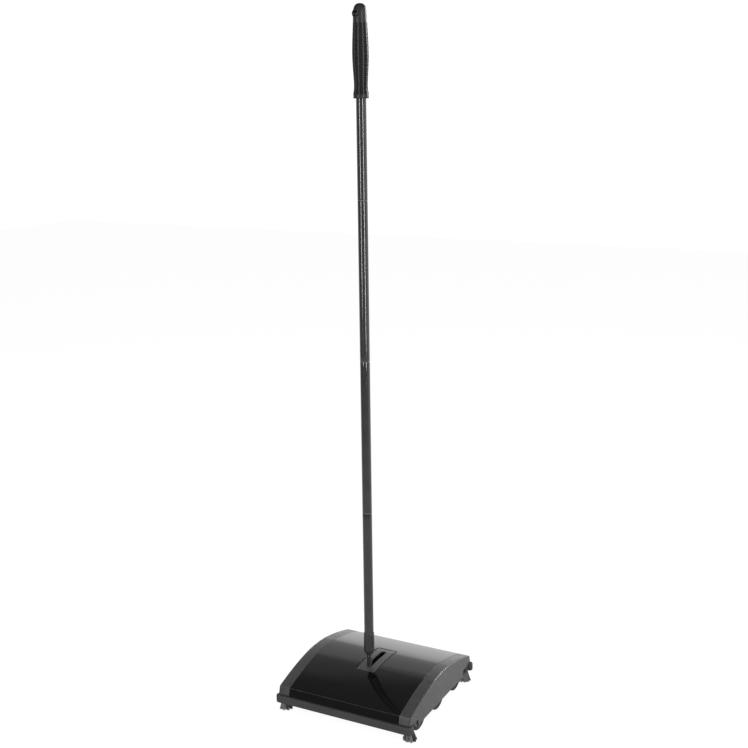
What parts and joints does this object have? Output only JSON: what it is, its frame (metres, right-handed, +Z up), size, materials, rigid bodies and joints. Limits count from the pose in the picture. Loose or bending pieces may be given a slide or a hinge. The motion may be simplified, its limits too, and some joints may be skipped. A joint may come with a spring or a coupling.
{
  "type": "carpet sweeper",
  "caption": "Manual floor sweeper: arched black head on rubber-tyred wheels with brush rotors, corner brushes and drop-open dust pans, on a jointed tube handle that tilts in a slot.",
  "frame": {"origin": "on the floor, under the middle of the head", "axes": "+Z up along the upright handle, -Y the front (the side the upright handle stands towards), +X to the right seen from the front"},
  "size_m": [0.251, 0.252, 1.1252],
  "materials": {
    "cover_gloss": "gloss black",
    "plate_plastic": "matte dark grey, fine texture",
    "cap_plastic": "matte charcoal, fine texture",
    "bumper_rubber": "matte charcoal",
    "frame_steel": "galvanised",
    "pin_steel": "bright zinc",
    "bushing_plastic": "natural nylon",
    "corner_bristle": "black nylon bristle",
    "rotor_core": "turned, sealed",
    "rotor_bristle": "dark natural bristle",
    "hub_plastic": "moulded grey",
    "tyre_rubber": "black rubber",
    "pan_plastic": "moulded black",
    "yoke_paint": "black, satin",
    "ferrule_plastic": "black, semi-gloss",
    "tube_paint": "black enamel, glossy",
    "connector_plastic": "black moulded",
    "grip_rubber": "black, soft"
  },
  "bodies": {
    "head": {"top_cover": "cover_gloss", "slot_plate": "plate_plastic", "left_end_cap": "cap_plastic", "right_end_cap": "cap_plastic", "front_bumper": "bumper_rubber", "rear_bumper": "bumper_rubber", "left_side_frame": "frame_steel", "right_side_frame": "frame_steel", "rotor_shroud": "frame_steel", "handle_bracket": "frame_steel", "handle_pivot_pin": "pin_steel", "front_left_corner_brush": "corner_bristle", "front_right_corner_brush": "corner_bristle", "rear_left_corner_brush": "corner_bristle", "rear_right_corner_brush": "corner_bristle", "rotor_bushings": "bushing_plastic", "wheel_axles": "pin_steel", "end_cap_screws": "pin_steel", "front_pan_hinge_rod": "pin_steel", "rear_pan_hinge_rod": "pin_steel"},
    "front_pan": {"front_dust_pan": "pan_plastic", "front_pan_springs": "pin_steel"},
    "rear_pan": {"rear_dust_pan": "pan_plastic", "rear_pan_springs": "pin_steel"},
    "front_rotor": {"front_rotor_shaft": "pin_steel", "front_rotor_core": "rotor_core", "front_rotor_bristles": "rotor_bristle", "front_rotor_pulleys": "hub_plastic", "front_friction_rings": "tyre_rubber"},
    "rear_rotor": {"rear_rotor_shaft": "pin_steel", "rear_rotor_core": "rotor_core", "rear_rotor_bristles": "rotor_bristle", "rear_rotor_pulleys": "hub_plastic", "rear_friction_rings": "tyre_rubber"},
    "front_left_wheel": {"front_left_hub": "hub_plastic", "front_left_tyre": "tyre_rubber"},
    "front_right_wheel": {"front_right_hub": "hub_plastic", "front_right_tyre": "tyre_rubber"},
    "middle_left_wheel": {"middle_left_hub": "hub_plastic", "middle_left_tyre": "tyre_rubber"},
    "middle_right_wheel": {"middle_right_hub": "hub_plastic", "middle_right_tyre": "tyre_rubber"},
    "rear_left_wheel": {"rear_left_hub": "hub_plastic", "rear_left_tyre": "tyre_rubber"},
    "rear_right_wheel": {"rear_right_hub": "hub_plastic", "rear_right_tyre": "tyre_rubber"},
    "handle": {"yoke_rod": "yoke_paint", "ferrule_nut": "yoke_paint", "ferrule": "ferrule_plastic", "handle_tube_1": "tube_paint", "tube_connector_1": "connector_plastic", "handle_tube_2": "tube_paint", "tube_connector_2": "connector_plastic", "handle_tube_3": "tube_paint", "tube_connector_3": "connector_plastic", "handle_tube_4": "tube_paint", "grip": "grip_rubber"}
  },
  "joints": [
    {"name": "handle_tilt", "type": "hinge", "parent": "head", "child": "handle", "pos_m": [0, 0, 0.038], "axis": [-1, 0, 0], "range_deg": [0, 80]},
    {"name": "front_rotor_spin", "type": "hinge", "parent": "head", "child": "front_rotor", "pos_m": [0, -0.036, 0.026], "axis": [1, 0, 0], "continuous": true},
    {"name": "rear_rotor_spin", "type": "hinge", "parent": "head", "child": "rear_rotor", "pos_m": [0, 0.036, 0.026], "axis": [1, 0, 0], "continuous": true},
    {"name": "front_left_wheel_spin", "type": "hinge", "parent": "head", "child": "front_left_wheel", "pos_m": [-0.109, -0.072, 0.026], "axis": [1, 0, 0], "continuous": true},
    {"name": "front_right_wheel_spin", "type": "hinge", "parent": "head", "child": "front_right_wheel", "pos_m": [0.109, -0.072, 0.026], "axis": [1, 0, 0], "continuous": true},
    {"name": "middle_left_wheel_spin", "type": "hinge", "parent": "head", "child": "middle_left_wheel", "pos_m": [-0.109, 0, 0.026], "axis": [1, 0, 0], "continuous": true},
    {"name": "middle_right_wheel_spin", "type": "hinge", "parent": "head", "child": "middle_right_wheel", "pos_m": [0.109, 0, 0.026], "axis": [1, 0, 0], "continuous": true},
    {"name": "rear_left_wheel_spin", "type": "hinge", "parent": "head", "child": "rear_left_wheel", "pos_m": [-0.109, 0.072, 0.026], "axis": [1, 0, 0], "continuous": true},
    {"name": "rear_right_wheel_spin", "type": "hinge", "parent": "head", "child": "rear_right_wheel", "pos_m": [0.109, 0.072, 0.026], "axis": [1, 0, 0], "continuous": true},
    {"name": "front_pan_hinge", "type": "hinge", "parent": "head", "child": "front_pan", "pos_m": [0, -0.107, 0.0127], "axis": [-1, 0, 0], "range_deg": [0, 60], "stiffness_Nm_per_rad": 0.03, "springref_deg": -45.84},
    {"name": "rear_pan_hinge", "type": "hinge", "parent": "head", "child": "rear_pan", "pos_m": [0, 0.107, 0.0127], "axis": [1, 0, 0], "range_deg": [0, 60], "stiffness_Nm_per_rad": 0.03, "springref_deg": -45.84}
  ],
  "couplings": [
    {"joint": "rear_rotor_spin", "follows": "front_rotor_spin", "ratio": 1},
    {"joint": "front_left_wheel_spin", "follows": "front_rotor_spin", "ratio": -0.3846},
    {"joint": "front_right_wheel_spin", "follows": "front_rotor_spin", "ratio": -0.3846},
    {"joint": "middle_left_wheel_spin", "follows": "front_rotor_spin", "ratio": -0.3846},
    {"joint": "middle_right_wheel_spin", "follows": "front_rotor_spin", "ratio": -0.3846},
    {"joint": "rear_left_wheel_spin", "follows": "front_rotor_spin", "ratio": -0.3846},
    {"joint": "rear_right_wheel_spin", "follows": "front_rotor_spin", "ratio": -0.3846}
  ]
}
